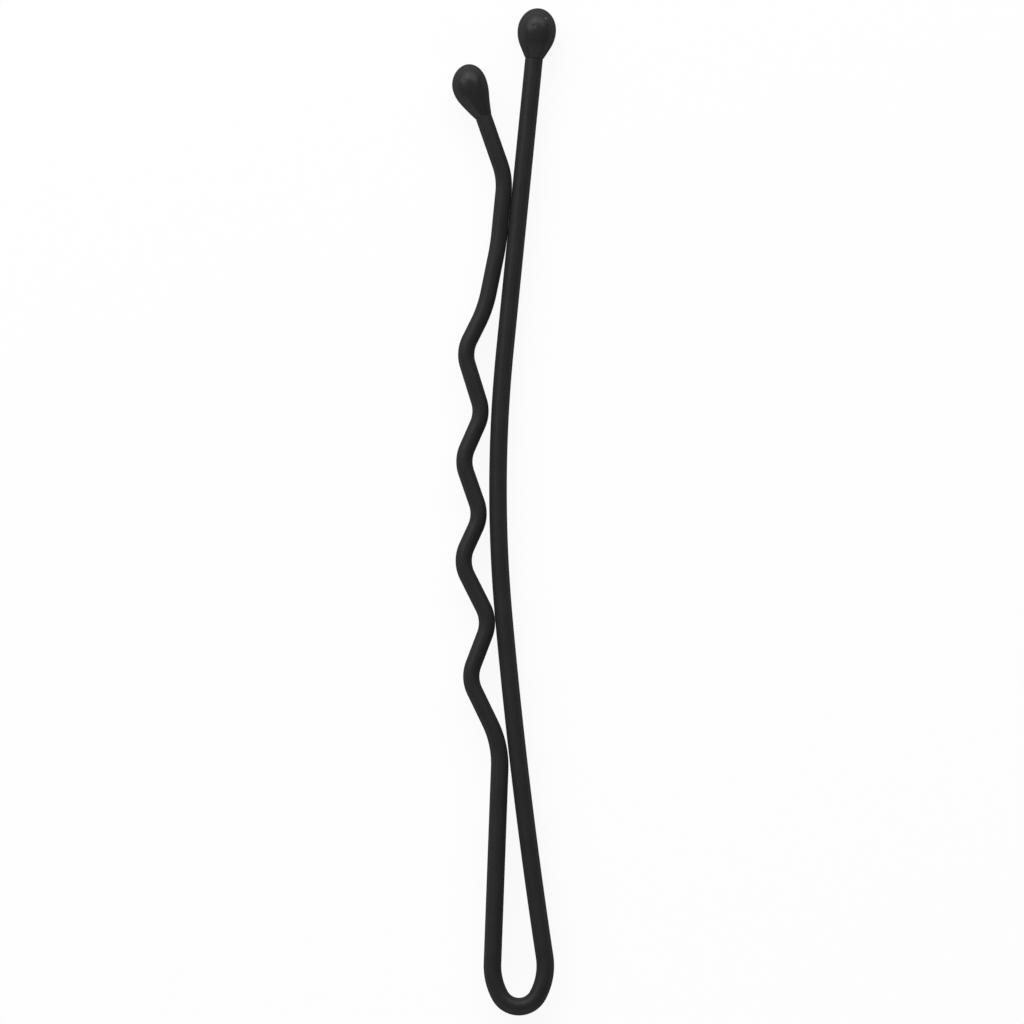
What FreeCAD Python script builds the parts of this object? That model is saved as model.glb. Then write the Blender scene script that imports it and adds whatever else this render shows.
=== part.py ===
import FreeCAD, Part
import math
import os
from collections import namedtuple

# Bobby pin: one spring wire folded into a straight and a crimped leg, with a ball of resin on each end.
# Millimetres and degrees. The pin lies flat, with X across the legs, Y from the bend to the tips and Z up.

# Spring wire
wire_diameter = 1.05
pressed_by = 0.08            # what the crimping dies take off the wire, measured across the legs

# Bend: an arch of three tangent arcs, tighter at the crown than at the shoulders
eye_width = 2.10
eye_depth = 1.91             # from the widest line of the eye to the inside of the crown
crown_inner_radius = 0.76

# Straight leg: a long lower stretch, a bow, and an upper stretch that brings the whole pin to 60 mm
leg_lean = 8.6               # towards the crimped leg, where the leg leaves the bend
lower_stretch = 20.5
lower_radius = 335.0
bow_radius = 84.0
upper_lean = 5.7             # away from the crimped leg, from the bow to the tip
upper_stretch = 17.5

# Crimped leg, measured along the straight leg from one bend to the next
plain_run = 12.3             # from the wire's bend to the shoulder
shoulder_fall = 4.55         # from the shoulder out to the first hollow
first_crimp_rise = 3.45      # from a hollow in to its crest
crimp_rise = 2.85
first_crimp_fall = 3.45      # from a crest out to the next hollow
second_crimp_fall = 3.05
third_crimp_fall = 3.5
knee_rise = 4.4              # from the last hollow in to the knee
landing_run = 2.8            # from the knee to where the leg comes to lie on the straight one
toe_run = 2.45               # from there to the toe's bend
toe_length = 3.15            # from the toe's bend to the tip's neck
toe_flare = 24.9             # from the straight leg's upper stretch

# Crimped leg, measured across: how far each bend keeps off the straight leg
touch_gap = 0.01             # where the two legs lie against each other
shoulder_gap = 0.09
crest_gap = 0.16
knee_gap = 0.26
first_crimp_depth = 1.26
second_crimp_depth = 1.14
third_crimp_depth = 1.01
fourth_crimp_depth = 1.27

# Crimped leg, radii of the wire's centreline
shoulder_radius = 5.7
crimp_radius = 2.0
knee_radius = 7.5
landing_radius = 14.0
toe_radius = 3.9
bend_share = 0.95            # most of the room between two opposite bends that their arcs may take

# Ball tips: drops with an oval cap, a rounded belly and a straight taper to the wire
tip_diameter = 2.29
tip_length = 2.93
tip_cap = 1.33               # from the widest ring to the top
tip_fullness = 0.81          # 1 rounds the belly all the way to the neck, less leaves a longer straight taper
tip_lip = 0.05               # edge of the resin where it ends on the wire
toe_tip_diameter = 2.11
toe_tip_length = 3.1
toe_tip_cap = 1.22
toe_tip_fullness = 0.65
toe_tip_lip = 0.01           # past the wide side of the pressed wire
toe_tip_tilt = 3.2           # this drop sits a little off the wire's line
seat_depth = 1.9             # wire inside the resin

wire_radius = wire_diameter / 2
pressed_thickness = wire_diameter - pressed_by
pressed_half = pressed_thickness / 2
pressed_width = wire_diameter ** 2 / pressed_thickness     # the pressed section keeps the wire's area
legs_apart = wire_radius + pressed_half                    # centre to centre, where the legs touch
table_height = max(tip_diameter, toe_tip_diameter) / 2     # the pin lies on its tips

# The arch's centreline: its half width, depth and crown, and the shoulders that meet the crown tangent
arch_half = (eye_width + wire_diameter) / 2
arch_depth = eye_depth + wire_radius
crown_radius = crown_inner_radius + wire_radius
arch_square = arch_half ** 2 + arch_depth ** 2
arch_radius = (arch_square - 2 * arch_depth * crown_radius) / (2 * (arch_half - crown_radius))
arch_sweep = math.atan2(arch_depth - crown_radius, arch_radius - arch_half)

Vector = FreeCAD.Vector
upwards = Vector(0, 0, 1)
along_y = math.pi / 2

# A bend of the crimped leg: its step along and gap off the straight leg, and the side that it turns to
Bend = namedtuple("Bend", "step gap radius side")
# The pin of a bending jig that the wire is drawn round
JigPin = namedtuple("JigPin", "centre radius side")
turns_left = 1
turns_right = -1


def direction(heading):
    return Vector(math.cos(heading), math.sin(heading), 0)


def left_of(heading):
    return Vector(-math.sin(heading), math.cos(heading), 0)


class WirePath:
    # A flat centreline that grows by straight runs and tangent turns

    def __init__(self, point, heading):
        self.point = point
        self.heading = heading
        self.length = 0.0
        self.spans = []
        self.edges = []

    def run(self, length):
        start = self.point
        self.spans.append((self.length, start, self.heading, 0.0))
        self.point = start + direction(self.heading) * length
        self.length += length
        self.edges.append(Part.LineSegment(start, self.point).toShape())

    def turn(self, angle, radius):
        # a positive angle turns left
        start = self.point
        arc_length = radius * abs(angle)
        self.spans.append((self.length, start, self.heading, math.copysign(1 / radius, angle)))
        middle, _ = self.at(self.length + arc_length / 2)
        self.point, self.heading = self.at(self.length + arc_length)
        self.length += arc_length
        self.edges.append(Part.Arc(start, middle, self.point).toShape())

    def at(self, station):
        # point and heading at a distance along the path
        begin, point, heading, curvature = [span for span in self.spans if span[0] <= station][-1]
        travelled = station - begin
        if curvature == 0:
            return point + direction(heading) * travelled, heading
        turned = heading + travelled * curvature
        centre = point + left_of(heading) * (1 / curvature)
        return centre - left_of(turned) * (1 / curvature), turned

    def beside(self, station, offset):
        # point at a distance to the left of the path
        point, heading = self.at(station)
        return point + left_of(heading) * offset

    def finish_in_tip(self, stretch):
        # last straight stretch up to the tip's neck, then on into the resin
        self.neck = self.length + stretch
        self.run(stretch + seat_depth)


def straight_leg_path():
    lean = math.radians(leg_lean)
    arch_centre = Vector(arch_half - arch_radius, 0, 0)
    path = WirePath(arch_centre + direction(lean) * arch_radius, along_y + lean)
    path.turn(-lower_stretch / lower_radius, lower_radius)
    path.turn(along_y - math.radians(upper_lean) - path.heading, bow_radius)
    path.finish_in_tip(upper_stretch)
    return path


def crimped_leg_bends():
    return [
        Bend(plain_run, shoulder_gap, shoulder_radius, turns_left),
        Bend(shoulder_fall, first_crimp_depth, crimp_radius, turns_right),
        Bend(first_crimp_rise, touch_gap, crimp_radius, turns_left),
        Bend(first_crimp_fall, second_crimp_depth, crimp_radius, turns_right),
        Bend(crimp_rise, crest_gap, crimp_radius, turns_left),
        Bend(second_crimp_fall, third_crimp_depth, crimp_radius, turns_right),
        Bend(crimp_rise, crest_gap, crimp_radius, turns_left),
        Bend(third_crimp_fall, fourth_crimp_depth, crimp_radius, turns_right),
        Bend(knee_rise, knee_gap, knee_radius, turns_left),
        Bend(landing_run, touch_gap, landing_radius, turns_left),
        Bend(toe_run, touch_gap, toe_radius, turns_left),
    ]


def fitted_radii(bends):
    # opposite bends keep their radii while both arcs fit side by side, and are drawn tighter where they don't
    scales = [1.0] * len(bends)
    for count, (bend, following) in enumerate(zip(bends, bends[1:])):
        if bend.side != following.side:
            height = abs(following.gap - bend.gap)
            room = (following.step ** 2 + height ** 2) / (2 * height)
            scale = bend_share * room / (bend.radius + following.radius)
            scales[count] = min(scales[count], scale)
            scales[count + 1] = min(scales[count + 1], scale)
    return [bend.radius * scale for bend, scale in zip(bends, scales)]


def jig_pins(straight):
    # the first pin is the arch's own shoulder, and each further one stands off the straight leg
    bends = crimped_leg_bends()
    pins = [JigPin(Vector(arch_radius - arch_half, 0, 0), arch_radius, turns_right)]
    station = 0.0
    for bend, radius in zip(bends, fitted_radii(bends)):
        station += bend.step
        offset = legs_apart + bend.gap + bend.side * radius
        pins.append(JigPin(straight.beside(station, offset), radius, bend.side))
    return pins


def touch_point(pin, heading):
    return pin.centre - left_of(heading) * (pin.side * pin.radius)


def tangent_heading(pin, following):
    # heading of the straight run that leaves one pin and meets the next
    across = following.centre - pin.centre
    shift = following.side * following.radius - pin.side * pin.radius
    return math.atan2(across.y, across.x) - math.asin(shift / across.Length)


def crimped_leg_path(straight):
    pins = jig_pins(straight)
    headings = [tangent_heading(pin, following) for pin, following in zip(pins, pins[1:])]
    headings.append(straight.heading + math.radians(toe_flare))
    path = WirePath(touch_point(pins[0], headings[0]), headings[0])
    for pin, heading, next_heading in zip(pins[1:], headings, headings[1:]):
        path.run((touch_point(pin, heading) - path.point).Length)
        path.turn(next_heading - heading, pin.radius)
    path.finish_in_tip(toe_length)
    return path


def bend_path(straight, crimped):
    # from the straight leg down round the crown and up to the crimped leg, turning right all the way
    start, heading = straight.at(0)
    _, last_heading = crimped.at(0)
    path = WirePath(start, heading - math.pi)
    path.turn(-math.radians(leg_lean) - arch_sweep, arch_radius)
    path.turn(2 * arch_sweep - math.pi, crown_radius)
    path.turn(last_heading - path.heading - 2 * math.pi, arch_radius)
    return path


def section(path, station, thickness, width):
    # wire section square to the path, with its first point on top, so that sections line up
    point, heading = path.at(station)
    if thickness == width:
        outline = Part.Circle(Vector(), upwards, thickness / 2).toShape()
    else:
        outline = Part.Ellipse(Vector(), width / 2, thickness / 2).toShape()
    turned = FreeCAD.Rotation(upwards, Vector(), direction(heading), "ZXY")
    outline.Placement = FreeCAD.Placement(point, turned)
    return Part.Wire([outline])


def drawn_wire(edges, *outlines):
    return Part.Wire(edges).makePipeShell(outlines, True, False)


def make_round_wire(path):
    return drawn_wire(path.edges, section(path, 0, wire_diameter, wire_diameter))


def make_crimped_leg(path):
    # round up to the shoulder, pressed more and more round the shoulder's bend, then oval up to the toe
    shoulder_start = path.spans[1][0]
    shoulder_end = path.spans[2][0]
    round_outline = section(path, shoulder_start, wire_diameter, wire_diameter)
    oval_outline = section(path, shoulder_end, pressed_thickness, pressed_width)
    plain = drawn_wire(path.edges[:1], section(path, 0, wire_diameter, wire_diameter))
    shoulder = drawn_wire(path.edges[1:2], round_outline, oval_outline)
    crimps = drawn_wire(path.edges[2:], oval_outline)
    return plain.fuse([shoulder, crimps])


def make_ball_tip(path, tilt, diameter, length, cap, fullness, neck_radius):
    # half outline turned about its own axis: neck edge, straight taper, belly arc tangent to it, oval cap
    neck, heading = path.at(path.neck)
    heading += math.radians(tilt)
    radius = diameter / 2
    reach = length - cap
    narrowing = radius - neck_radius
    belly_radius = fullness * (reach ** 2 + narrowing ** 2) / (2 * narrowing)
    sunk = belly_radius - narrowing      # the belly arc's centre, below the neck's edge
    taper = math.asin(belly_radius / math.hypot(reach, sunk)) - math.atan2(sunk, reach)

    def outline_point(out, ahead):
        return neck + left_of(heading) * out + direction(heading) * ahead

    def belly_point(angle):
        out = radius - belly_radius * (1 - math.cos(angle))
        return outline_point(out, reach - belly_radius * math.sin(angle))

    edge = outline_point(neck_radius, 0)
    widest = outline_point(radius, reach)
    top = outline_point(0, length)
    oval_cap = Part.BezierCurve()
    oval_cap.setPoles([widest, outline_point(radius, length), top])
    oval_cap.setWeight(2, math.sqrt(0.5))     # makes it a quarter of an ellipse
    outline = Part.Wire([
        Part.LineSegment(neck, edge).toShape(),
        Part.LineSegment(edge, belly_point(taper)).toShape(),
        Part.Arc(belly_point(taper), belly_point(taper / 2), widest).toShape(),
        oval_cap.toShape(),
        Part.LineSegment(top, neck).toShape(),
    ])
    return Part.Face(outline).revolve(neck, direction(heading), 360)


def build():
    straight = straight_leg_path()
    crimped = crimped_leg_path(straight)
    bend = bend_path(straight, crimped)
    straight_leg = make_round_wire(straight)
    crimped_leg = make_crimped_leg(crimped)
    tip = make_ball_tip(
        straight, 0, tip_diameter, tip_length, tip_cap, tip_fullness, wire_radius + tip_lip)
    toe_tip = make_ball_tip(
        crimped, toe_tip_tilt, toe_tip_diameter, toe_tip_length, toe_tip_cap, toe_tip_fullness,
        pressed_width / 2 + toe_tip_lip)
    shapes = {
        "straight_leg": straight_leg,
        "spring_bend": make_round_wire(bend),
        "crimped_leg": crimped_leg,
        "straight_leg_tip": tip.cut(straight_leg),
        "crimped_leg_tip": toe_tip.cut(crimped_leg),
    }
    box = Part.makeCompound(list(shapes.values())).optimalBoundingBox(False)
    to_origin = Vector(-box.Center.x, -box.Center.y, table_height)
    for shape in shapes.values():
        shape.translate(to_origin)
    lowest_crest = plain_run + shoulder_fall + first_crimp_rise
    places = {
        "legs hinge about Z": Part.Wire(bend.edges).CenterOfMass + to_origin,
        "centre of the eye": to_origin,
        "grip at the lowest crest": straight.beside(lowest_crest, wire_radius) + to_origin,
    }
    print(f"pin: {box.XLength:.3f} x {box.YLength:.3f} x {2 * table_height:.3f}")
    return shapes, places


os.makedirs("parts", exist_ok=True)
shapes, places = build()
for name, shape in shapes.items():
    shape.exportStep(f"parts/{name}.step")
    print(f"{name}: {len(shape.Solids)} solid, {shape.Volume:.4f} mm3, valid {shape.isValid()}")
for name, place in places.items():
    print(f"{name}: {place.x:.3f}, {place.y:.3f}, {place.z:.3f}")
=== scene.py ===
import bpy
import numpy as np
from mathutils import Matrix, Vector


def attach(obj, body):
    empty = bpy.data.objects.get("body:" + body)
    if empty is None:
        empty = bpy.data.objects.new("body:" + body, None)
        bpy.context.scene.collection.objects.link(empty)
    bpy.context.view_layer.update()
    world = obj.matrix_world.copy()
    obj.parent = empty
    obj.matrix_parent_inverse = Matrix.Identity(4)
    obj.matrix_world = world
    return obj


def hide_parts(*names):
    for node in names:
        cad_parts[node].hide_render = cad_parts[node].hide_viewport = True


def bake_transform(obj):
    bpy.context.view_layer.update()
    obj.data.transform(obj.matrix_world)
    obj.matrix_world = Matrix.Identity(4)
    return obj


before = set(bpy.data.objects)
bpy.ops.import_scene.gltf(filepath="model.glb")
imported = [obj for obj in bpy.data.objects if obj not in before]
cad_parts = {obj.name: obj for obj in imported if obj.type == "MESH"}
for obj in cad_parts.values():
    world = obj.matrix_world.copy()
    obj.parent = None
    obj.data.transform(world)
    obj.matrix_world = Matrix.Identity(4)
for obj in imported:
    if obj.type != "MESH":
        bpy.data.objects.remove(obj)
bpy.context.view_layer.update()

# Bobby pin of black enamelled spring wire with a dipped resin ball on each end, lying flat on a table.
# The dictionaries hold millimetres and degrees; meshes, lamps and camera are in metres.
mm = 0.001
wirePlane = 1.145                # the wire's middle, above the table
scene = bpy.context.scene
scene.view_settings.view_transform = "Standard"

camera = {
    "aim": (0.455, 0.001),       # point of the table in the middle of the picture
    "distance": 500.0,           # above the wire's plane, where the field is measured
    "fieldWidth": 61.02,
    "sensor": 36.0,
    "clip": (10.0, 20000.0),     # nearest and farthest that is drawn
}


def addCamera():
    # Looks straight down with +Y up in the picture; lens = sensor x distance / field
    data = bpy.data.cameras.new("topCamera")
    data.sensor_width = camera["sensor"]
    data.lens = camera["sensor"] * camera["distance"] / camera["fieldWidth"]
    data.clip_start, data.clip_end = np.array(camera["clip"]) * mm
    made = bpy.data.objects.new("topCamera", data)
    made.location = np.array([*camera["aim"], wirePlane + camera["distance"]]) * mm
    scene.collection.objects.link(made)
    scene.camera = made


addCamera()
print("camera in place")

wire = {
    "diameter": 1.05,
    "coat": 0.0045,              # enamel that closes the hairline between touching legs
    "pressedBy": 0.08,           # what the crimping dies take off the crimped leg, across the legs
    "eyeCentre": (0.864, -27.040),
    "around": 72,                # points round the wire
}
bend = {
    "eyeWidth": 2.10,
    "eyeDepth": 1.91,
    "crownInnerRadius": 0.76,
    "ringSpacing": 0.05,
}
straightLeg = {
    "lean": 8.6,                 # towards the crimped leg, where the leg leaves the bend
    "lowerStretch": 20.5,
    "lowerRadius": 335.0,
    "bowRadius": 84.0,
    "upperLean": 5.7,
    "upperStretch": 17.5,
    "ringSpacing": 0.12,
}
touching, crestGap = 0.01, 0.16
crimpedLeg = {
    # each bend's step along the straight leg, gap off it, radius, and 1 for left or -1 for right
    "bends": (
        (12.3, 0.09, 5.7, 1),        # shoulder
        (4.55, 1.26, 2.0, -1),       # first hollow, then crests and hollows in turn
        (3.45, touching, 2.0, 1),
        (3.45, 1.14, 2.0, -1),
        (2.85, crestGap, 2.0, 1),
        (3.05, 1.01, 2.0, -1),
        (2.85, crestGap, 2.0, 1),
        (3.5, 1.27, 2.0, -1),
        (4.4, 0.26, 7.5, 1),         # knee
        (2.8, touching, 14.0, 1),    # landing on the straight leg
        (2.45, touching, 3.9, 1),    # toe
    ),
    "toeLength": 3.15,
    "toeFlare": 24.9,
    "ringSpacing": 0.09,
}
seatDepth = 1.9                  # wire inside each ball

wireRadius = wire["diameter"] / 2
pressedHalf = wireRadius - wire["pressedBy"] / 2
pressedHalfWidth = wireRadius ** 2 / pressedHalf  # the pressed oval keeps the round wire's area
legsApart = wireRadius + pressedHalf

# The bend's arch: half width, depth and crown of its centreline, and shoulders tangent to the crown
archHalf = bend["eyeWidth"] / 2 + wireRadius
archDepth = bend["eyeDepth"] + wireRadius
crownRadius = bend["crownInnerRadius"] + wireRadius
archSquare = archHalf ** 2 + archDepth ** 2
archRadius = (archSquare - 2 * archDepth * crownRadius) / (2 * (archHalf - crownRadius))
archSweep = np.arctan2(archDepth - crownRadius, archRadius - archHalf)


def ahead(heading):
    # Unit vector along a heading
    return np.stack([np.cos(heading), np.sin(heading)], -1)


def leftOf(heading):
    # Unit vector a quarter turn left of a heading
    return np.stack([-np.sin(heading), np.cos(heading)], -1)


def chord(length, turned, heading):
    # Straight line across an arc: length x sin(half turn) / half turn, along the heading at half the turn
    return (length * np.sinc(turned / (2 * np.pi)))[:, None] * ahead(heading + turned / 2)


def makePath(start, heading, lengths, curvatures):
    # Runs and arcs laid end to end: headings add up length x curvature, and places add up the chords
    lengths, curvatures = np.array(lengths, float), np.array(curvatures, float)
    turned = lengths * curvatures
    headings = heading + np.concatenate([[0], np.cumsum(turned)])
    chords = chord(lengths, turned, headings[:-1])
    return {
        "stations": np.concatenate([[0], np.cumsum(lengths)]),
        "headings": headings,
        "points": np.array(start) + np.concatenate([[[0, 0]], np.cumsum(chords, 0)]),
        "curvatures": curvatures,
    }


def along(path, stations):
    # Points and headings at distances along a path: the knot before, plus the chord of what is left
    stations = np.atleast_1d(np.asarray(stations, float))
    knots = np.searchsorted(path["stations"], stations, side="right") - 1
    knots = np.clip(knots, 0, len(path["curvatures"]) - 1)
    travelled = stations - path["stations"][knots]
    turned = travelled * path["curvatures"][knots]
    heading = path["headings"][knots]
    return path["points"][knots] + chord(travelled, turned, heading), heading + turned


def straightLegPath():
    # Leaves the arch's shoulder at the leg's lean, bows slowly, then runs straight into its ball
    lean = np.radians(straightLeg["lean"])
    start = np.array([archHalf - archRadius, 0]) + ahead(lean) * archRadius
    lower = straightLeg["lowerStretch"]
    heading = np.pi / 2 + lean
    bow = lean - lower / straightLeg["lowerRadius"] + np.radians(straightLeg["upperLean"])
    lengths = [lower, bow * straightLeg["bowRadius"], straightLeg["upperStretch"] + seatDepth]
    curvatures = [-1 / straightLeg["lowerRadius"], -1 / straightLeg["bowRadius"], 0]
    return makePath(start, heading, lengths, curvatures)


def crimpedLegPath(straight):
    # A taut wire round the pins of a bending jig: each pin stands off the straight leg, and between
    # two pins the wire runs along the line that touches both
    steps, gaps, radii, sides = np.array(crimpedLeg["bends"]).T
    points, headings = along(straight, np.cumsum(steps))
    offsets = legsApart + gaps + sides * radii
    archPin = [[archRadius - archHalf, 0]]
    pins = np.concatenate([archPin, points + leftOf(headings) * offsets[:, None]])
    sides = np.append(-1, sides)
    radii = np.append(archRadius, radii)
    across = np.diff(pins, axis=0)
    reach = np.hypot(*across.T)
    shift = np.diff(sides * radii)
    heading = np.arctan2(across[:, 1], across[:, 0]) - np.arcsin(shift / reach)
    toeHeading = straight["headings"][-1] + np.radians(crimpedLeg["toeFlare"])
    turned = np.diff(np.append(heading, toeHeading))
    runs = np.sqrt(reach ** 2 - shift ** 2)
    lengths = np.stack([runs, radii[1:] * np.abs(turned)], 1).ravel()
    curvatures = np.stack([0 * runs, np.sign(turned) / radii[1:]], 1).ravel()
    start = pins[0] - leftOf(heading[0]) * (sides[0] * radii[0])
    lengths = np.append(lengths, crimpedLeg["toeLength"] + seatDepth)
    return makePath(start, heading[0], lengths, np.append(curvatures, 0))


def bendPath(straight, crimped):
    # From the straight leg round the crown to the crimped leg: shoulder, crown and shoulder arcs
    heading = straight["headings"][0] - np.pi
    first = np.radians(straightLeg["lean"]) + archSweep
    crown = np.pi - 2 * archSweep
    last = heading - first - crown + 2 * np.pi - crimped["headings"][0]
    radii = np.array([archRadius, crownRadius, archRadius])
    return makePath(straight["points"][0], heading, np.array([first, crown, last]) * radii, -1 / radii)


straightPath = straightLegPath()
crimpedPath = crimpedLegPath(straightPath)
archPath = bendPath(straightPath, crimpedPath)
crimpedFrom = archPath["stations"][-1]  # where the crimped leg begins, counted from the straight leg's foot
wireLength = straightPath["stations"][-1] + crimpedFrom + crimpedPath["stations"][-1]
print("wire drawn:", round(wireLength, 2), "mm")


def ringTurns(around):
    # Even angles round a ring, starting underneath, where no seam shows
    return np.linspace(-np.pi / 2, 3 * np.pi / 2, around, endpoint=False)


def placed(flat, height):
    # Points of the wire's plane, moved to where the pin lies on the table
    flat = np.broadcast_to(flat, (*height.shape, 2)) + np.array(wire["eyeCentre"])
    return np.concatenate([flat, height[..., None] + wirePlane], -1)


def tube(path, halfThickness, halfWidth, stations):
    # Oval carried along the path: centre + left x half thickness x cos + up x half width x sin
    points, headings = along(path, stations)
    turns = ringTurns(wire["around"])
    out = halfThickness[:, None] * np.cos(turns)
    up = halfWidth[:, None] * np.sin(turns)
    flat = points[:, None] + leftOf(headings)[:, None] * out[..., None]
    return placed(flat, up), out, up


def closedPiece(name, rows, firstPole, lastPole, cutEnd):
    # Skin over rings of points: each ring is stitched to the next, and both ends close in a point;
    # the first ring is a sharp edge, and so is the last one on a wire's cut end
    count, around = rows.shape[:2]
    ring = np.arange(around)
    following = np.roll(ring, -1)
    start = np.arange(count - 1)[:, None] * around
    here, beside = start + ring, start + following
    quads = np.stack([here, beside, beside + around, here + around], -1)
    top = (count - 1) * around
    pole = np.full(around, count * around)
    firstCap = np.stack([pole, following, ring], -1)
    lastCap = np.stack([pole + 1, top + ring, top + following], -1)
    mesh = bpy.data.meshes.new(name)
    points = np.concatenate([rows.reshape(-1, 3), [firstPole, lastPole]]) * mm
    mesh.from_pydata(points, [], [*quads.reshape(-1, 4).tolist(), *firstCap.tolist(), *lastCap.tolist()])
    mesh.polygons.foreach_set("use_smooth", np.ones(len(mesh.polygons), bool))
    ends = np.empty(len(mesh.edges) * 2, int)
    mesh.edges.foreach_get("vertices", ends)
    ends = ends.reshape(-1, 2)
    onFirst = (ends < around).all(1)
    onLast = ((ends >= top) & (ends < top + around)).all(1) & cutEnd
    mesh.edges.foreach_set("use_edge_sharp", onFirst | onLast)
    mesh.update()
    made = bpy.data.objects.new(name, mesh)
    scene.collection.objects.link(made)
    return made


def keepDrawn(piece, out, up, station):
    # Where each point lay while the wire was still straight: across, up and along it, in millimetres
    rings = np.stack(np.broadcast_arrays(out, up, station[:, None]), -1).reshape(-1, 3)
    poles = [[0, 0, station[0]], [0, 0, station[-1]]]
    drawn = np.concatenate([rings, poles]).astype(np.float32)
    attribute = piece.data.attributes.new("asDrawn", "FLOAT_VECTOR", "POINT")
    attribute.data.foreach_set("vector", drawn.ravel())


def wirePiece(name, path, spacing, pressed, fromStart, direction):
    # Tube from end to end of a path, round, or pressed from round to oval round the shoulder's bend
    length = path["stations"][-1]
    stations = np.linspace(0, length, int(length / spacing) + 1)
    pressStart, pressEnd = path["stations"][1:3]
    share = np.clip((stations - pressStart) / (pressEnd - pressStart), 0, 1) * pressed
    halfThickness = wireRadius + share * (pressedHalf - wireRadius) + wire["coat"]
    halfWidth = wireRadius + share * (pressedHalfWidth - wireRadius) + wire["coat"]
    rows, out, up = tube(path, halfThickness, halfWidth, stations)
    piece = closedPiece(name, rows, rows[0].mean(0), rows[-1].mean(0), True)
    keepDrawn(piece, out * direction, up, fromStart + direction * stations)
    return piece


straightWire = wirePiece("straight_leg_wire", straightPath, straightLeg["ringSpacing"], 0, 0, -1)
bendWire = wirePiece("spring_bend_wire", archPath, bend["ringSpacing"], 0, 0, 1)
crimpedWire = wirePiece("crimped_leg_wire", crimpedPath, crimpedLeg["ringSpacing"], 1, crimpedFrom, 1)
print("wire pieces made")

straightBall = {
    "diameter": 2.29,
    "length": 2.98,
    "cap": 1.35,                 # from the widest ring to the top
    "fullness": 0.81,            # 1 rounds the belly down to the neck, less leaves a longer straight taper
    "neck": (0.560, 0.560),      # half sizes across and up
    "overrun": 0.03,             # resin that ran on down the wire
    "tilt": 0.0,
    "sag": 0.0,
    # small faults of the dip, on the upper side, in the order of flawColumns
    "flaws": ((-0.47, 2.37, 0.055, 0.010, 1.0), (0.195, 1.85, 0.13, -0.025, 0.0)),
}
crimpedBall = {
    "diameter": 2.11,
    "length": 3.25,
    "cap": 1.26,
    "fullness": 0.65,
    "neck": (0.510, 0.578),
    "overrun": 0.11,
    "tilt": 1.1,
    "sag": 0.135,                # this drop bows a little to the left before it sets
    "flaws": ((0.10, 2.41, 0.10, 0.006, 0.0), (0.45, 2.31, 0.12, 0.006, 0.0)),
}
flawColumns = ("left", "ahead", "width", "height", "paintedGlint")  # left of the axis, and ahead of the neck; the last column is the share of painted highlight, a pale speck for the nib's glint
ballLip = 0.035                  # rounding where the resin ends on the wire
ballGrid = {"around": 220, "lip": 7, "side": 70, "cap": 80}  # points round a ring, rings on each stretch
seatRings = 2                    # the bottom of a ball's blind seat, and its mouth


def bellyHalf(ball, reach, aheadBy):
    # Half size below the widest ring: a straight taper from the neck, then the belly arc tangent to it;
    # belly radius = fullness x the radius of one arc from the widest ring to the neck
    neck = np.array(ball["neck"])
    radius = ball["diameter"] / 2
    narrowing = radius - neck
    belly = ball["fullness"] * (reach ** 2 + narrowing ** 2) / (2 * narrowing)
    sunk = belly - narrowing
    taper = np.arcsin(belly / np.hypot(reach, sunk)) - np.arctan2(sunk, reach)
    down = reach - aheadBy[:, None]
    arc = radius - belly + np.sqrt(np.maximum(belly ** 2 - down ** 2, 0))
    return np.where(down < belly * np.sin(taper), arc, neck + aheadBy[:, None] * np.tan(taper))


def dropRings(ball, reach, seat, depth):
    # Half sizes of a drop's rings, and how far ahead of the neck they lie: the blind seat's bottom,
    # a rounded lip from its mouth, the taper and belly, and a cap that is half an ellipsoid
    lipTurn = np.linspace(0, np.pi / 2, ballGrid["lip"])
    lipAhead = ballLip * (1 - np.cos(lipTurn))
    lipHalf = seat + (bellyHalf(ball, reach, lipAhead) - seat) * np.sin(lipTurn)[:, None]
    sideAhead = np.linspace(ballLip, reach, ballGrid["side"])[1:]
    capTurn = np.linspace(0, np.pi / 2, ballGrid["cap"])[1:-1]
    capHalf = np.repeat(ball["diameter"] / 2 * np.cos(capTurn)[:, None], 2, 1)
    half = np.concatenate([[seat], lipHalf, bellyHalf(ball, reach, sideAhead), capHalf])
    aheadBy = np.concatenate([[depth], lipAhead, sideAhead, reach + ball["cap"] * np.sin(capTurn)])
    return half, aheadBy


def flawBells(left, aheadBy, up, flaws):
    # A bell for each fault, seen from above, on the upper side only:
    # e to the power of -(distance / width) squared
    away = np.hypot(left[..., None] - flaws["left"], aheadBy[..., None] - flaws["ahead"])
    return np.exp(-(away / flaws["width"]) ** 2) * (up > 0)[..., None]


def keepPaintedGlint(piece, paintedGlint):
    # How much painted highlight, a pale speck for the nib's glint, lies on each point; the poles have none
    attribute = piece.data.attributes.new("paintedGlint", "FLOAT", "POINT")
    attribute.data.foreach_set("value", np.append(paintedGlint.ravel(), [0, 0]).astype(np.float32))


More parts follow.
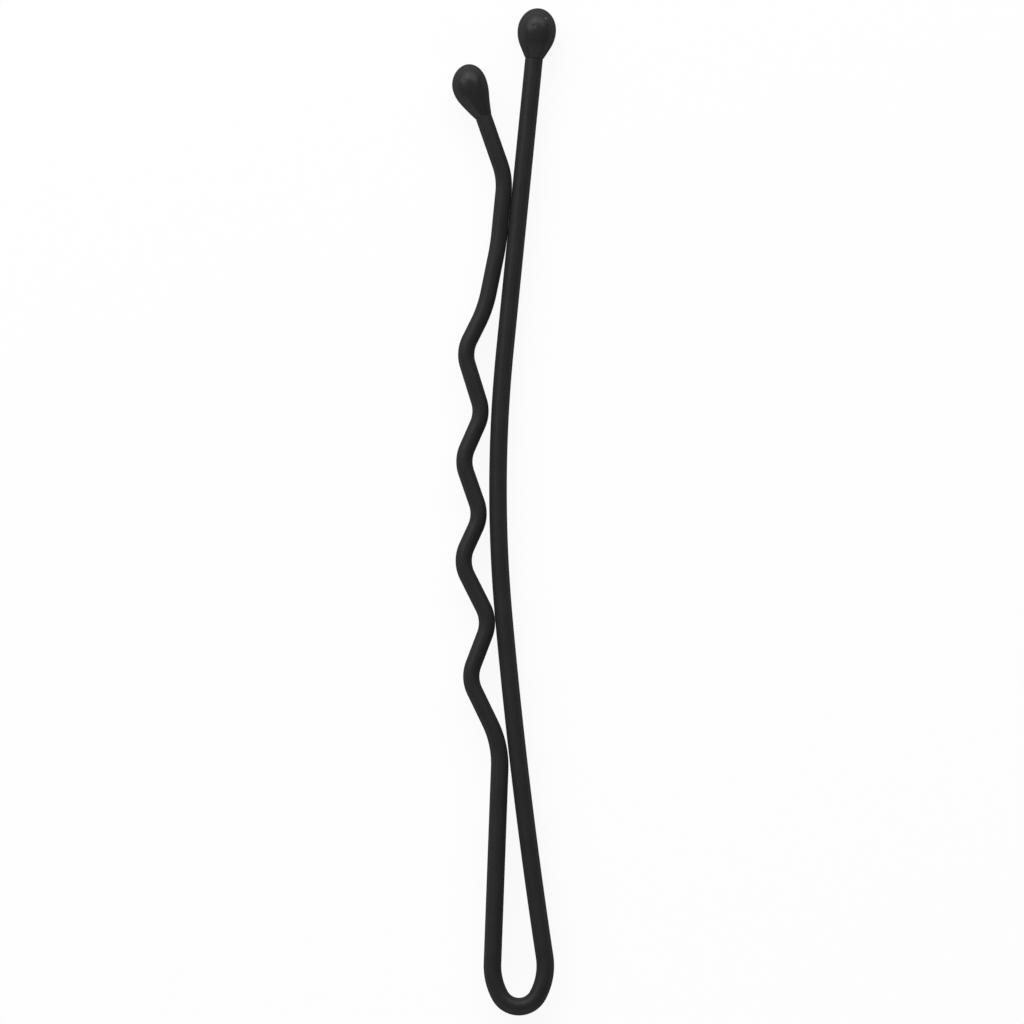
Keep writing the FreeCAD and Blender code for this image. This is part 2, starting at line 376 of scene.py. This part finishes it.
def ballPiece(name, path, ball, wireHalf):
    # Drop on the wire's end: its middle line sags by 4 x sag x share x (1 - share) at each share of its
    # length, and the faults push out from the middle of its widest ring
    reach = ball["length"] - ball["cap"]
    depth = seatDepth + ball["overrun"]
    half, aheadBy = dropRings(ball, reach, np.array(wireHalf) + wire["coat"], depth)
    point, heading = along(path, path["stations"][-1] - depth)
    inSeat = np.arange(len(half)) < seatRings
    axis = np.where(inSeat, heading, heading + np.radians(ball["tilt"]))
    share = aheadBy / ball["length"]
    sag = np.where(inSeat, 0, 4 * ball["sag"] * share * (1 - share))
    turns = ringTurns(ballGrid["around"])
    left = half[:, :1] * np.cos(turns)
    up = half[:, 1:] * np.sin(turns)
    forward = np.broadcast_to(aheadBy[:, None] - reach, left.shape)
    flaws = dict(zip(flawColumns, np.array(ball["flaws"]).T))
    bells = flawBells(left, aheadBy[:, None], up, flaws)
    bells[inSeat] = 0
    swell = 1 + bells @ flaws["height"] / np.sqrt(left ** 2 + up ** 2 + forward ** 2)
    flat = point + ahead(axis)[:, None] * (reach + forward * swell)[..., None]
    flat = flat + leftOf(axis)[:, None] * (left * swell + sag[:, None])[..., None]
    top = placed(point + ahead(axis[-1:]) * ball["length"], np.zeros(1))[0]
    seatEnd = placed(point + ahead(heading) * depth, np.zeros(1))[0]
    piece = closedPiece(name, placed(flat, up * swell), seatEnd, top, False)
    # Share of painted highlight on each point: a pale speck for the nib's glint
    keepPaintedGlint(piece, bells @ flaws["paintedGlint"])
    return piece


straightResin = ballPiece("straight_leg_ball", straightPath, straightBall, (wireRadius, wireRadius))
crimpedResin = ballPiece("crimped_leg_ball", crimpedPath, crimpedBall, (pressedHalf, pressedHalfWidth))
print("balls made")


def linear(hexColour):
    # sRGB hex to linear red, green, blue and alpha
    srgb = np.array([int(hexColour[place:place + 2], 16) for place in (1, 3, 5)]) / 255
    return (*np.where(srgb <= 0.04045, srgb / 12.92, ((srgb + 0.055) / 1.055) ** 2.4), 1.0)


def addNode(tree, kind, inputs, **settings):
    # One node with its settings; an input is a fixed value or another node's output socket
    node = tree.nodes.new(kind)
    for name, value in settings.items():
        setattr(node, name, value)
    for name, value in inputs.items():
        if isinstance(value, bpy.types.NodeSocket):
            tree.links.new(value, node.inputs[name])
        else:
            node.inputs[name].default_value = value
    return node


def newMaterial(name):
    # Empty node material and its tree
    material = bpy.data.materials.new(name)
    material.use_nodes = True
    material.node_tree.nodes.clear()
    return material, material.node_tree


def addNoise(tree, vector, pattern, unit):
    # Noise with patches of about one size; unit is what a millimetre measures in the vector's space
    size, detail, finerShare = pattern
    noise = addNode(tree, "ShaderNodeTexNoise", {
        "Vector": vector, "Scale": 1 / (size * unit), "Detail": detail, "Roughness": finerShare})
    return noise.outputs["Fac"]


def mixTints(tree, factor, first, second):
    # First colour where the factor is 0, second where it is 1; the node's colour sockets go by number
    mixed = addNode(tree, "ShaderNodeMix", {"Factor": factor, 6: first, 7: second}, data_type="RGBA")
    return mixed.outputs[2]


def remap(tree, value, span, low, high):
    # Straight line from low to high across a span of the value, level outside it
    line = addNode(tree, "ShaderNodeMapRange", {
        "Value": value, "From Min": span[0], "From Max": span[1], "To Min": low, "To Max": high})
    return line.outputs["Result"]


def addBump(tree, height, rise, **under):
    # Relief as high as the real one, laid over the bump under it
    bump = addNode(tree, "ShaderNodeBump", {
        "Height": height, "Strength": 1.0, "Distance": rise * mm, **under})
    return bump.outputs["Normal"]


noiseSpan = (0.3, 0.7)           # where most values of a noise lie


def addFinish(tree, finish, tint, mottle, relief):
    # Shader of a finish: its roughness follows the mottle, and rises as the surface turns from the eye
    sheen = remap(tree, mottle, noiseSpan, *finish["roughness"])
    turned = addNode(tree, "ShaderNodeLayerWeight", {}).outputs["Facing"]
    gloss = remap(tree, turned, finish["fade"], sheen, finish["edgeRoughness"])
    shader = addNode(tree, "ShaderNodeBsdfPrincipled", {
        "Base Color": tint, "Roughness": gloss, "Specular IOR Level": finish["specular"], "Normal": relief})
    addNode(tree, "ShaderNodeOutputMaterial", {"Surface": shader.outputs["BSDF"]})


enamel = {
    "thickTint": "#252525",
    "thinTint": "#2b2b2a",
    "roughness": (0.37, 0.47),
    "edgeRoughness": 0.95,       # the matt coat has no shine at a glancing angle
    "fade": (0.15, 0.65),        # how far turned from the eye the shine starts to fade, and is gone
    "specular": 0.13,
    "mottle": (1.4, 3.0, 0.55),  # each pattern's size, layers of finer detail, and their share
    "peel": (0.24, 1.5, 0.5),    # orange peel of the baked coat
    "peelHeight": 0.004,
    "lines": (1.0, 2.0, 0.6),    # marks of the drawing die, sized in widths and lengths of a line
    "lineWidth": 0.07,           # real ones are finer and would not show
    "lineLength": 5.0,
    "lineHeight": 0.0012,
}


def bakedBlackEnamel():
    # Stoving enamel, dipped and baked on drawn steel wire: an even charcoal black with a soft sheen and no
    # sharp reflection, a fine orange peel, and faint lines where the coat sinks into the die marks
    material, tree = newMaterial("bakedBlackEnamel")
    drawn = addNode(tree, "ShaderNodeAttribute", {}, attribute_name="asDrawn").outputs["Vector"]
    mottle = addNoise(tree, drawn, enamel["mottle"], 1)
    peel = addNoise(tree, drawn, enamel["peel"], 1)
    lineScale = (1 / enamel["lineWidth"], 1 / enamel["lineWidth"], 1 / enamel["lineLength"])
    stretched = addNode(tree, "ShaderNodeMapping", {"Vector": drawn, "Scale": lineScale})
    lines = addNoise(tree, stretched.outputs["Vector"], enamel["lines"], 1)
    tint = mixTints(tree, mottle, linear(enamel["thickTint"]), linear(enamel["thinTint"]))
    lineRelief = addBump(tree, lines, enamel["lineHeight"])
    relief = addBump(tree, peel, enamel["peelHeight"], Normal=lineRelief)
    addFinish(tree, enamel, tint, mottle, relief)
    return material


resin = {
    "deepTint": "#252525",
    "dustyTint": "#2d2d2c",
    "paintedGlintTint": "#5c5c5a",      # painted highlight: a pale speck for the glint on the small nib
    "roughness": (0.28, 0.38),
    "edgeRoughness": 0.95,
    "fade": (0.15, 0.65),
    "specular": 0.155,
    "mottle": (0.6, 3.0, 0.55),
    "waves": (0.42, 1.0, 0.4),   # slow waves of the set drop
    "waveHeight": 0.010,
    "grain": (0.11, 2.0, 0.6),
    "grainHeight": 0.0016,
}


def dippedBlackResin():
    # Epoxy resin, dipped as a drop and cured: smoother than the wire, a soft bright patch that the drop's
    # slow waves break up a little, a fine grain from the pigment, and a painted highlight: a pale speck for
    # the nib's glint
    material, tree = newMaterial("dippedBlackResin")
    place = addNode(tree, "ShaderNodeTexCoord", {}).outputs["Object"]
    mottle = addNoise(tree, place, resin["mottle"], mm)
    waves = addNoise(tree, place, resin["waves"], mm)
    grain = addNoise(tree, place, resin["grain"], mm)
    tint = mixTints(tree, mottle, linear(resin["deepTint"]), linear(resin["dustyTint"]))
    paintedGlint = addNode(tree, "ShaderNodeAttribute", {}, attribute_name="paintedGlint").outputs["Fac"]
    # Painted highlight: a pale speck mixed into the colour where the nib's glint shows
    withPaintedGlint = mixTints(tree, paintedGlint, tint, linear(resin["paintedGlintTint"]))
    waveRelief = addBump(tree, waves, resin["waveHeight"])
    relief = addBump(tree, grain, resin["grainHeight"], Normal=waveRelief)
    addFinish(tree, resin, withPaintedGlint, mottle, relief)
    return material


enamelMaterial = bakedBlackEnamel()
resinMaterial = dippedBlackResin()
for piece in (straightWire, bendWire, crimpedWire):
    piece.data.materials.append(enamelMaterial)
for piece in (straightResin, crimpedResin):
    piece.data.materials.append(resinMaterial)
print("materials made")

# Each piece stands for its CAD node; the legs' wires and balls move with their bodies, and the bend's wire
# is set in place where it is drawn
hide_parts("straight_leg")
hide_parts("spring_bend")
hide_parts("crimped_leg")
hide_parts("straight_leg_tip")
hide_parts("crimped_leg_tip")
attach(straightWire, "straight_side")
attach(straightResin, "straight_side")
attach(crimpedWire, "crimped_side")
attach(crimpedResin, "crimped_side")
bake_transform(bendWire)
print("pieces tied to the bodies")

white = "#ffffff"
floor = {"halfSide": 4000.0, "tint": "#fafaf9", "shadowShare": 0.08}


def addFloor():
    # White table under the balls. To the camera and in reflections it is plain white with a share of its
    # own shading, which keeps the pin's shadow
    side = floor["halfSide"] * mm
    corners = [(-side, -side, 0), (side, -side, 0), (side, side, 0), (-side, side, 0)]
    mesh = bpy.data.meshes.new("whiteTable")
    mesh.from_pydata(corners, [], [(0, 1, 2, 3)])
    table = bpy.data.objects.new("whiteTable", mesh)
    scene.collection.objects.link(table)
    material, tree = newMaterial("whiteCard")
    card = addNode(tree, "ShaderNodeBsdfDiffuse", {"Color": linear(floor["tint"])})
    glow = addNode(tree, "ShaderNodeEmission", {"Color": linear(white), "Strength": 1.0})
    path = addNode(tree, "ShaderNodeLightPath", {})
    seen = addNode(tree, "ShaderNodeMath", {
        0: path.outputs["Is Camera Ray"], 1: path.outputs["Is Glossy Ray"]}, operation="MAXIMUM")
    seen = addNode(tree, "ShaderNodeMath", {
        0: seen.outputs[0], 1: path.outputs["Is Transmission Ray"]}, operation="MAXIMUM")
    share = addNode(tree, "ShaderNodeMath", {
        0: seen.outputs[0], 1: 1 - floor["shadowShare"]}, operation="MULTIPLY")
    mixed = addNode(tree, "ShaderNodeMixShader", {
        0: share.outputs[0], 1: card.outputs["BSDF"], 2: glow.outputs["Emission"]})
    addNode(tree, "ShaderNodeOutputMaterial", {"Surface": mixed.outputs["Shader"]})
    mesh.materials.append(material)


lamps = {
    # place and sides of each soft box, and its share of a white table's brightness at the pin's middle
    "topBox": {"place": (91, 318, 259), "sides": (500, 260), "share": 0.47},
    "leftBox": {"place": (-219, 235, 270), "sides": (415, 330), "share": 0.49},
    "fillBox": {"place": (-54, -383, 164), "sides": (760, 260), "share": 0.18},
}
skyShare = 0.06                  # even light from all round


def addLamp(name, lamp):
    # Soft box turned to the pin's middle; power = share x (pi x distance) squared / cosine at the table
    place = Vector(lamp["place"]) * mm
    data = bpy.data.lights.new(name, "AREA")
    data.shape = "RECTANGLE"
    data.size, data.size_y = np.array(lamp["sides"]) * mm
    data.energy = lamp["share"] * (np.pi * place.length) ** 2 / place.normalized().z
    made = bpy.data.objects.new(name, data)
    made.location = place
    made.rotation_euler = (-place).to_track_quat("-Z", "Y").to_euler()
    made.visible_camera = False
    scene.collection.objects.link(made)


def addSky():
    # The same white from every direction
    world = bpy.data.worlds.new("evenSky")
    world.use_nodes = True
    world.node_tree.nodes.clear()
    sky = addNode(world.node_tree, "ShaderNodeBackground", {"Color": linear(white), "Strength": skyShare})
    addNode(world.node_tree, "ShaderNodeOutputWorld", {"Surface": sky.outputs["Background"]})
    scene.world = world


addFloor()
addSky()
for name, lamp in lamps.items():
    addLamp(name, lamp)
print("floor and lamps in place")
